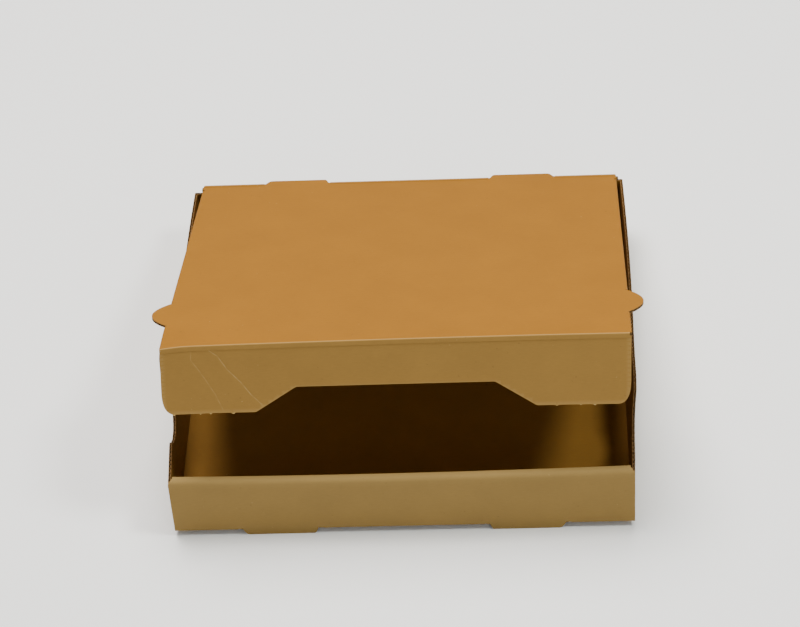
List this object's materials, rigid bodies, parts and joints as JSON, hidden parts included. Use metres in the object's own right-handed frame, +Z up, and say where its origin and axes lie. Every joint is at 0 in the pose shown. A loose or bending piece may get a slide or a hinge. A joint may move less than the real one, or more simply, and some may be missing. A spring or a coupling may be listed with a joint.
{
  "type": "pizza box",
  "caption": "Square corrugated box with a hinged lid, a tuck-in front flap, leaning side walls and a double front wall, standing slightly open.",
  "frame": {"origin": "on the table, under the middle of the box as measured over its hinge tabs", "axes": "+X to the box's right, +Y towards the hinge at its back, +Z up"},
  "size_m": [0.2744, 0.2647, 0.1237],
  "materials": {
    "kraft_board": "matt brown kraft liner with fine flecks"
  },
  "bodies": {
    "tray": {"tray": "kraft_board"},
    "lid": {"lid": "kraft_board"},
    "front_flap": {"lid_front_flap": "kraft_board"}
  },
  "joints": [
    {"name": "lid_hinge", "type": "hinge", "parent": "tray", "child": "lid", "pos_m": [0, 0.12702, 0.04475], "axis": [-1, 0, 0], "range_deg": [-18.4, 161.6]},
    {"name": "front_flap_hinge", "type": "hinge", "parent": "lid", "child": "front_flap", "pos_m": [0, -0.10807, 0.12295], "axis": [-1, 0, 0], "range_deg": [-3.5, 86.5]}
  ]
}
